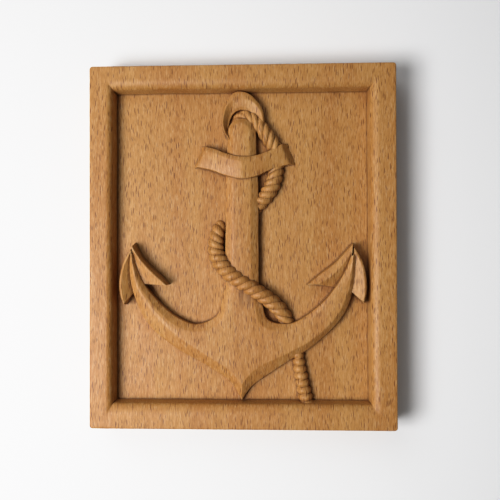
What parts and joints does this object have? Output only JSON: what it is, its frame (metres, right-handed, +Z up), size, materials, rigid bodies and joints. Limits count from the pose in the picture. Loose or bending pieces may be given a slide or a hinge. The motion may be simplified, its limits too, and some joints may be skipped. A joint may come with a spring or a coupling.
{
  "type": "carved anchor relief plaque",
  "caption": "A framed beech wall plaque carved in relief with an anchor, its ring, stock and flukes, and a rope wound round the shank.",
  "frame": {"origin": "centre of the flat back, where the plaque lies against a wall", "axes": "+Z up as the plaque hangs, +X to the right as seen from the front, the carved face looks towards -Y and the back towards +Y"},
  "size_m": [0.15, 0.02, 0.178],
  "materials": {
    "beech": "satin oil"
  },
  "bodies": {
    "root": {"anchor_relief_plaque": "beech"}
  },
  "joints": []
}
